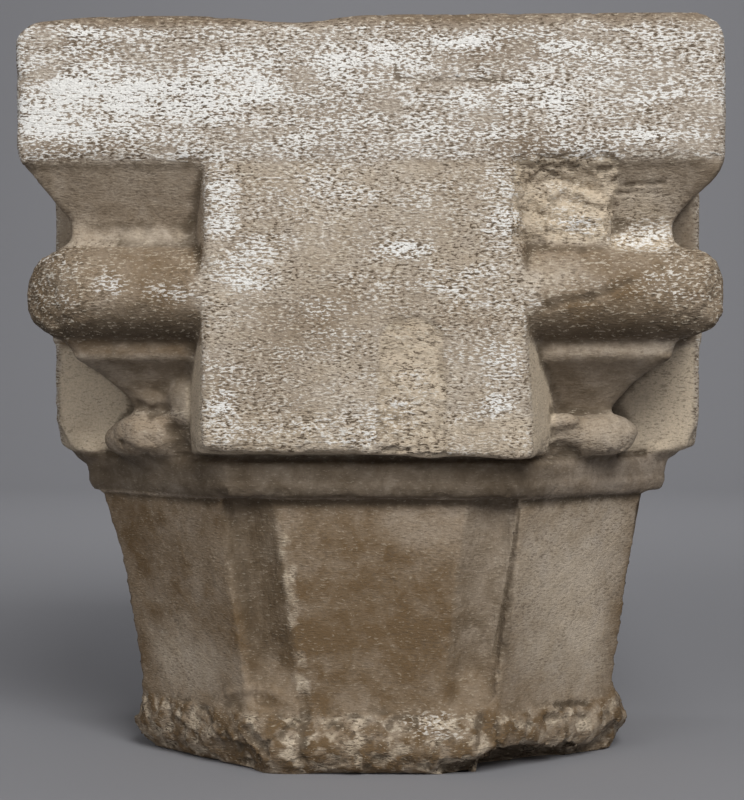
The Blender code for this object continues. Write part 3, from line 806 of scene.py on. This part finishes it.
# %% Colour, layer by layer
def patchy(amount, pattern, contrast):
    """How much of a layer lies at a point: its amount, made uneven by a pattern."""
    share = limestone.step(amount + (pattern - 0.5) * contrast, 0.0, 1.0, smooth=False)
    return share * limestone.step(amount, 0.0, 0.15)


mottle = clouds * 0.4 + blotches * 0.6
colour = limestone.mix(limestone.step(clouds, 0.3, 0.7), (0.41, 0.343, 0.272), (0.49, 0.421, 0.345))
colour = limestone.mix(patchy(warm_and_painted_light, blotches, 1.2), colour, (0.66, 0.545, 0.40))
colour = limestone.mix(patchy(patina_and_painted_light, mottle, 1.5), colour, (0.16, 0.100, 0.047))
# Dirt and painted shade: a dark brown over creases, undersides and places in shadow.
colour = limestone.mix(patchy(dirt_and_painted_shade, blotches, 1.0) * 0.95, colour, (0.075, 0.053, 0.031))
# The speckle is the stone's grain and lime, and also painted light. Dark flecks lie in the pits of the
# noise that raises the bump, as painted shade, and pale flecks lie on its crests, as painted highlights.
dark = limestone.step(pits, 0.46, 0.37) * (grainy * 0.85 + 0.1) * calm
colour = limestone.mix(dark, colour, (0.115, 0.084, 0.055))
edge = 0.64 - (lime + ((mottle - 0.5) * 1.2 + (streaks - 0.5) * 1.5) * lime) * 0.24
white = limestone.step(pits - edge, -0.022, 0.022) * (grainy * 0.6 + lime * 0.6)
pale = limestone.mix(limestone.step(lime, 0.1, 0.45), (0.68, 0.59, 0.45), (0.88, 0.865, 0.82))
colour = limestone.mix(white, colour, pale)
colour = limestone.mix(limestone.step(dust, 0.3, 0.7, 0.0, 0.2), colour, (0.13, 0.10, 0.07))
limestone.feed(limestone.shader.inputs["Base Color"], colour)

# %% Roughness and fine relief
dull = limestone.step(pits, 0.3, 0.7, 0.93, 0.72)
limestone.feed(limestone.shader.inputs["Roughness"], dull)
limestone.shader.inputs["Specular IOR Level"].default_value = 0.3
height = pits * (grainy * 0.8 + 0.12) + blotches * 0.8 + tooling * tooled * 0.8 + dust * 0.08
bump = limestone.add("ShaderNodeBump", {}, {"Strength": 0.8, "Distance": 0.0013, "Height": height})
limestone.feed(limestone.shader.inputs["Normal"], bump)
mesh.materials.append(limestone.material)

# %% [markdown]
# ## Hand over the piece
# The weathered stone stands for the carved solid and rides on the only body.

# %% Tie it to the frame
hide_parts("capital")
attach(stone, "root")

# %% [markdown]
# ## A pale floor
# A plain floor that sweeps up behind the stone, as a photographer's paper does, so no horizon
# shows. It is a plane whose far edge is extruded upwards, with a wide bevel in the crease.

# %% Floor
bpy.ops.object.select_all(action="DESELECT")
bpy.ops.mesh.primitive_plane_add(size=6, location=(0, 0.8, 0))
floor = bpy.context.object
floor.name = "studio_floor"
for edge in floor.data.edges:
    edge.select = all(floor.data.vertices[index].co.y > 2 for index in edge.vertices)
bpy.ops.object.mode_set(mode="EDIT")
bpy.ops.mesh.select_mode(type="EDGE")
bpy.ops.mesh.extrude_region_move(TRANSFORM_OT_translate={"value": (0, 0, 4)})
bpy.ops.object.mode_set(mode="OBJECT")
apply_modifier(floor, "BEVEL", width=1.5, segments=24)
bpy.ops.object.shade_smooth()
plain = Graph("pale_floor")
plain.feed(plain.shader.inputs["Base Color"], (0.325, 0.325, 0.343, 1))
plain.feed(plain.shader.inputs["Roughness"], 0.9)
floor.data.materials.append(plain.material)
floor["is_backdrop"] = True

# %% [markdown]
# ## Soft studio light
# The light in the photograph falls from above and a little from the right: the undersides are
# dark, and the walls of the flutes that face right are light. A large soft lamp does that, a
# weaker one fills from the left, and a dim grey world lifts the shadows.

# %% Lamps
def add_lamp(name, position, size, power, target=(0, 0, 0.2)):
    """Adds a square soft lamp that points at the stone, or at another target."""
    bpy.ops.object.light_add(type="AREA", location=position)
    lamp = bpy.context.object
    lamp.name = name
    lamp.data.size = size
    lamp.data.energy = power
    aim = Vector(target) - Vector(position)
    lamp.rotation_euler = aim.to_track_quat("-Z", "Y").to_euler()


add_lamp("key_lamp", (0.5, -1.7, 1.35), 0.9, 33)
add_lamp("fill_lamp", (-0.8, -1.9, 0.75), 1.2, 15)
add_lamp("backdrop_lamp", (0, 1.3, 2.4), 1.6, 36, (0, 3.6, 0.6))
world = bpy.data.worlds.new("studio")
bpy.context.scene.world = world
world.use_nodes = True
world.node_tree.nodes["Background"].inputs["Color"].default_value = (0.5, 0.5, 0.52, 1)
world.node_tree.nodes["Background"].inputs["Strength"].default_value = 0.15
bpy.context.scene.view_settings.view_transform = "Standard"

# %% [markdown]
# ## The camera
# The photograph was taken from about 0.9 m, at half the capital's height, and a touch to the
# right. Its picture is 744 by 800, and the lens follows from how wide the slab appears.

# %% Camera
PICTURE = (744, 800)
FOCAL_PIXELS = 1990
TURN = math.radians(2.15)
PITCH = math.radians(0.55)
DISTANCE = 0.891
front_middle = Vector((0.0018, cad_low.y, 0.185))
position = front_middle + DISTANCE * Vector((math.sin(TURN), -math.cos(TURN), 0))
bpy.ops.object.camera_add(location=position, rotation=(math.pi / 2 - PITCH, 0, TURN))
camera = bpy.context.object
camera.data.sensor_width = 36
camera.data.lens = FOCAL_PIXELS * camera.data.sensor_width / max(PICTURE)
bpy.context.scene.camera = camera

# %% Print the finished model's box
low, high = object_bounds()
print("visual model from", tuple(low), "to", tuple(high))
